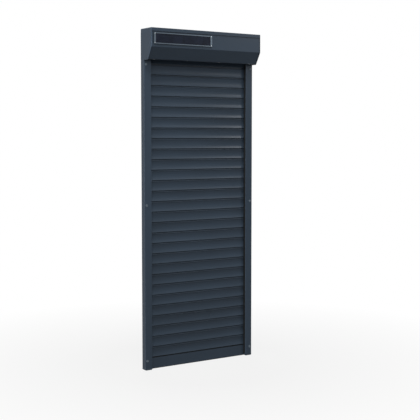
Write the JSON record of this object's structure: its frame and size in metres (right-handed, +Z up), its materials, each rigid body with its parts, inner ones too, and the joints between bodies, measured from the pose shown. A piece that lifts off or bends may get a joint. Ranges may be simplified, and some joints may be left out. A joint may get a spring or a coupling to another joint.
{
  "type": "exterior roller shutter",
  "caption": "Exterior roller shutter: interlocking aluminium slats in two side rails, wound by a tube motor in a chamfered box with a solar panel on its front.",
  "frame": {"origin": "on the wall face at sill height, midway between the two rails", "axes": "+X across the window to the right as seen from outside, +Y into the wall, +Z up"},
  "size_m": [0.686, 0.11, 1.781],
  "materials": {
    "coated_curtain": "satin powder coat, anthracite",
    "coated_frame": "satin powder coat, anthracite",
    "coated_caps": "moulded, anthracite",
    "black_plastic": "moulded",
    "rubber": "matt",
    "zinc_steel": "galvanised",
    "spring_steel": "rolled",
    "bearing_steel": "ground",
    "motor_tube": "drawn tube",
    "panel_frame": "anodised",
    "solar_cells": "laminated cells",
    "battery_sleeve": "shrink sleeve"
  },
  "bodies": {
    "frame": {"left_rail": "coated_frame", "right_rail": "coated_frame", "rail_seals": "rubber", "rail_feet": "coated_caps", "rail_screw_caps": "coated_caps", "box_rear_shell": "coated_frame", "box_front_cover": "coated_frame", "box_floor": "coated_frame", "left_end_plate": "coated_frame", "right_end_plate": "coated_frame", "entry_guides": "black_plastic", "slot_glide": "black_plastic", "shell_rivets": "coated_frame", "cover_screws": "zinc_steel", "motor_body": "motor_tube", "motor_head": "black_plastic", "motor_bracket": "zinc_steel", "idler_bearing": "bearing_steel", "bearing_holder": "black_plastic", "solar_frame": "panel_frame", "solar_cells": "solar_cells", "battery_pack": "battery_sleeve", "battery_clips": "spring_steel"},
    "bar": {"bottom_bar": "coated_curtain", "bar_seal": "rubber", "bar_end_caps": "black_plastic"},
    "roller": {"roller_tube": "zinc_steel", "motor_crown": "black_plastic", "drive_wheel": "black_plastic", "idler_plug": "black_plastic"},
    "slat_01": {"slat_01": "coated_curtain", "hanger_strips": "spring_steel"},
    "slat_02": {"slat_02": "coated_curtain"},
    "slat_03": {"slat_03": "coated_curtain"},
    "slat_04": {"slat_04": "coated_curtain"},
    "slat_05": {"slat_05": "coated_curtain"},
    "slat_06": {"slat_06": "coated_curtain"},
    "slat_07": {"slat_07": "coated_curtain"},
    "slat_08": {"slat_08": "coated_curtain"},
    "slat_09": {"slat_09": "coated_curtain"},
    "slat_10": {"slat_10": "coated_curtain"},
    "slat_11": {"slat_11": "coated_curtain"},
    "slat_12": {"slat_12": "coated_curtain"},
    "slat_13": {"slat_13": "coated_curtain"},
    "slat_14": {"slat_14": "coated_curtain"},
    "slat_15": {"slat_15": "coated_curtain"},
    "slat_16": {"slat_16": "coated_curtain"},
    "slat_17": {"slat_17": "coated_curtain"},
    "slat_18": {"slat_18": "coated_curtain"},
    "slat_19": {"slat_19": "coated_curtain"},
    "slat_20": {"slat_20": "coated_curtain"},
    "slat_21": {"slat_21": "coated_curtain"},
    "slat_22": {"slat_22": "coated_curtain"},
    "slat_23": {"slat_23": "coated_curtain"},
    "slat_24": {"slat_24": "coated_curtain"},
    "slat_25": {"slat_25": "coated_curtain"},
    "slat_26": {"slat_26": "coated_curtain"},
    "slat_27": {"slat_27": "coated_curtain"},
    "slat_28": {"slat_28": "coated_curtain"},
    "slat_29": {"slat_29": "coated_curtain"}
  },
  "joints": [
    {"name": "curtain_lift", "type": "slide", "parent": "frame", "child": "bar", "axis": [0, 0, 1], "range_m": [0, 1.5555], "deforming": ["slat_01", "slat_02", "slat_03", "slat_04", "slat_05", "slat_06", "slat_07", "slat_08", "slat_09", "slat_10", "slat_11", "slat_12", "slat_13", "slat_14", "slat_15", "slat_16", "slat_17", "slat_18", "slat_19", "slat_20", "slat_21", "slat_22", "slat_23", "slat_24", "slat_25", "slat_26", "slat_27", "slat_28", "slat_29", "hanger_strips"]},
    {"name": "slat_01_lift", "type": "slide", "parent": "frame", "child": "slat_01", "axis": [0, 0, 1], "range_m": [0, 0.03]},
    {"name": "slat_02_lift", "type": "slide", "parent": "frame", "child": "slat_02", "axis": [0, 0, 1], "range_m": [0, 0.0845]},
    {"name": "slat_03_lift", "type": "slide", "parent": "frame", "child": "slat_03", "axis": [0, 0, 1], "range_m": [0, 0.139]},
    {"name": "slat_04_lift", "type": "slide", "parent": "frame", "child": "slat_04", "axis": [0, 0, 1], "range_m": [0, 0.1935]},
    {"name": "slat_05_lift", "type": "slide", "parent": "frame", "child": "slat_05", "axis": [0, 0, 1], "range_m": [0, 0.248]},
    {"name": "slat_06_lift", "type": "slide", "parent": "frame", "child": "slat_06", "axis": [0, 0, 1], "range_m": [0, 0.3025]},
    {"name": "slat_07_lift", "type": "slide", "parent": "frame", "child": "slat_07", "axis": [0, 0, 1], "range_m": [0, 0.357]},
    {"name": "slat_08_lift", "type": "slide", "parent": "frame", "child": "slat_08", "axis": [0, 0, 1], "range_m": [0, 0.4115]},
    {"name": "slat_09_lift", "type": "slide", "parent": "frame", "child": "slat_09", "axis": [0, 0, 1], "range_m": [0, 0.466]},
    {"name": "slat_10_lift", "type": "slide", "parent": "frame", "child": "slat_10", "axis": [0, 0, 1], "range_m": [0, 0.5205]},
    {"name": "slat_11_lift", "type": "slide", "parent": "frame", "child": "slat_11", "axis": [0, 0, 1], "range_m": [0, 0.575]},
    {"name": "slat_12_lift", "type": "slide", "parent": "frame", "child": "slat_12", "axis": [0, 0, 1], "range_m": [0, 0.6295]},
    {"name": "slat_13_lift", "type": "slide", "parent": "frame", "child": "slat_13", "axis": [0, 0, 1], "range_m": [0, 0.684]},
    {"name": "slat_14_lift", "type": "slide", "parent": "frame", "child": "slat_14", "axis": [0, 0, 1], "range_m": [0, 0.7385]},
    {"name": "slat_15_lift", "type": "slide", "parent": "frame", "child": "slat_15", "axis": [0, 0, 1], "range_m": [0, 0.793]},
    {"name": "slat_16_lift", "type": "slide", "parent": "frame", "child": "slat_16", "axis": [0, 0, 1], "range_m": [0, 0.8475]},
    {"name": "slat_17_lift", "type": "slide", "parent": "frame", "child": "slat_17", "axis": [0, 0, 1], "range_m": [0, 0.902]},
    {"name": "slat_18_lift", "type": "slide", "parent": "frame", "child": "slat_18", "axis": [0, 0, 1], "range_m": [0, 0.9565]},
    {"name": "slat_19_lift", "type": "slide", "parent": "frame", "child": "slat_19", "axis": [0, 0, 1], "range_m": [0, 1.011]},
    {"name": "slat_20_lift", "type": "slide", "parent": "frame", "child": "slat_20", "axis": [0, 0, 1], "range_m": [0, 1.0655]},
    {"name": "slat_21_lift", "type": "slide", "parent": "frame", "child": "slat_21", "axis": [0, 0, 1], "range_m": [0, 1.12]},
    {"name": "slat_22_lift", "type": "slide", "parent": "frame", "child": "slat_22", "axis": [0, 0, 1], "range_m": [0, 1.1745]},
    {"name": "slat_23_lift", "type": "slide", "parent": "frame", "child": "slat_23", "axis": [0, 0, 1], "range_m": [0, 1.229]},
    {"name": "slat_24_lift", "type": "slide", "parent": "frame", "child": "slat_24", "axis": [0, 0, 1], "range_m": [0, 1.2835]},
    {"name": "slat_25_lift", "type": "slide", "parent": "frame", "child": "slat_25", "axis": [0, 0, 1], "range_m": [0, 1.338]},
    {"name": "slat_26_lift", "type": "slide", "parent": "frame", "child": "slat_26", "axis": [0, 0, 1], "range_m": [0, 1.3925]},
    {"name": "slat_27_lift", "type": "slide", "parent": "frame", "child": "slat_27", "axis": [0, 0, 1], "range_m": [0, 1.447]},
    {"name": "slat_28_lift", "type": "slide", "parent": "frame", "child": "slat_28", "axis": [0, 0, 1], "range_m": [0, 1.5015]},
    {"name": "slat_29_lift", "type": "slide", "parent": "frame", "child": "slat_29", "axis": [0, 0, 1], "range_m": [0, 1.556]},
    {"name": "tube_turn", "type": "hinge", "parent": "frame", "child": "roller", "pos_m": [0, -0.054, 1.726], "axis": [1, 0, 0], "range_deg": [0, 2320]}
  ],
  "couplings": [
    {"joint": "slat_01_lift", "follows": "curtain_lift", "ratio": 0.018965},
    {"joint": "slat_02_lift", "follows": "curtain_lift", "ratio": 0.054002},
    {"joint": "slat_03_lift", "follows": "curtain_lift", "ratio": 0.089039},
    {"joint": "slat_04_lift", "follows": "curtain_lift", "ratio": 0.12408},
    {"joint": "slat_05_lift", "follows": "curtain_lift", "ratio": 0.15911},
    {"joint": "slat_06_lift", "follows": "curtain_lift", "ratio": 0.19415},
    {"joint": "slat_07_lift", "follows": "curtain_lift", "ratio": 0.22919},
    {"joint": "slat_08_lift", "follows": "curtain_lift", "ratio": 0.26422},
    {"joint": "slat_09_lift", "follows": "curtain_lift", "ratio": 0.29926},
    {"joint": "slat_10_lift", "follows": "curtain_lift", "ratio": 0.3343},
    {"joint": "slat_11_lift", "follows": "curtain_lift", "ratio": 0.36934},
    {"joint": "slat_12_lift", "follows": "curtain_lift", "ratio": 0.40437},
    {"joint": "slat_13_lift", "follows": "curtain_lift", "ratio": 0.43941},
    {"joint": "slat_14_lift", "follows": "curtain_lift", "ratio": 0.47445},
    {"joint": "slat_15_lift", "follows": "curtain_lift", "ratio": 0.50948},
    {"joint": "slat_16_lift", "follows": "curtain_lift", "ratio": 0.54452},
    {"joint": "slat_17_lift", "follows": "curtain_lift", "ratio": 0.57956},
    {"joint": "slat_18_lift", "follows": "curtain_lift", "ratio": 0.61459},
    {"joint": "slat_19_lift", "follows": "curtain_lift", "ratio": 0.64963},
    {"joint": "slat_20_lift", "follows": "curtain_lift", "ratio": 0.68467},
    {"joint": "slat_21_lift", "follows": "curtain_lift", "ratio": 0.7197},
    {"joint": "slat_22_lift", "follows": "curtain_lift", "ratio": 0.75474},
    {"joint": "slat_23_lift", "follows": "curtain_lift", "ratio": 0.78978},
    {"joint": "slat_24_lift", "follows": "curtain_lift", "ratio": 0.82481},
    {"joint": "slat_25_lift", "follows": "curtain_lift", "ratio": 0.85985},
    {"joint": "slat_26_lift", "follows": "curtain_lift", "ratio": 0.89489},
    {"joint": "slat_27_lift", "follows": "curtain_lift", "ratio": 0.92993},
    {"joint": "slat_28_lift", "follows": "curtain_lift", "ratio": 0.96496},
    {"joint": "slat_29_lift", "follows": "curtain_lift", "ratio": 1},
    {"joint": "tube_turn", "follows": "curtain_lift", "rad_per_m": 26}
  ]
}
